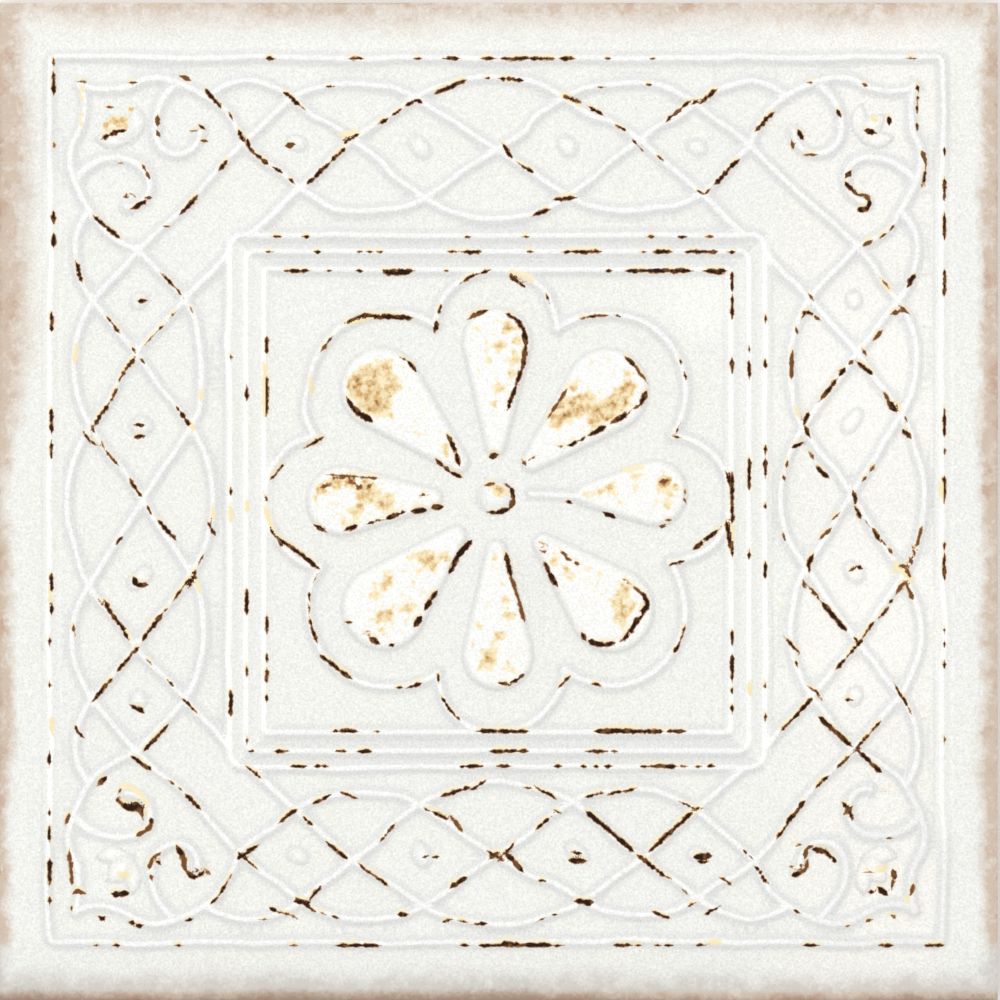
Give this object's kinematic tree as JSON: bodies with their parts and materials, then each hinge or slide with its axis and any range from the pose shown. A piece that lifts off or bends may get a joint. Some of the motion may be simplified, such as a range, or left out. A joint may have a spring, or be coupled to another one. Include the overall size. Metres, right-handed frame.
{
  "type": "ceramic tile",
  "caption": "Square glazed ceramic wall tile with a raised pattern: petalled flower, interlaced border bands and scrolled corners, on a keyed back.",
  "frame": {"origin": "middle of the back, on the plane that the tile lies on", "axes": "+Z out of the decorated face, +Y towards the picture's upper edge, +X towards its right edge"},
  "size_m": [0.2, 0.2, 0.0084],
  "materials": {
    "glazed_body": "satin"
  },
  "bodies": {
    "root": {"tile": "glazed_body"}
  },
  "joints": []
}
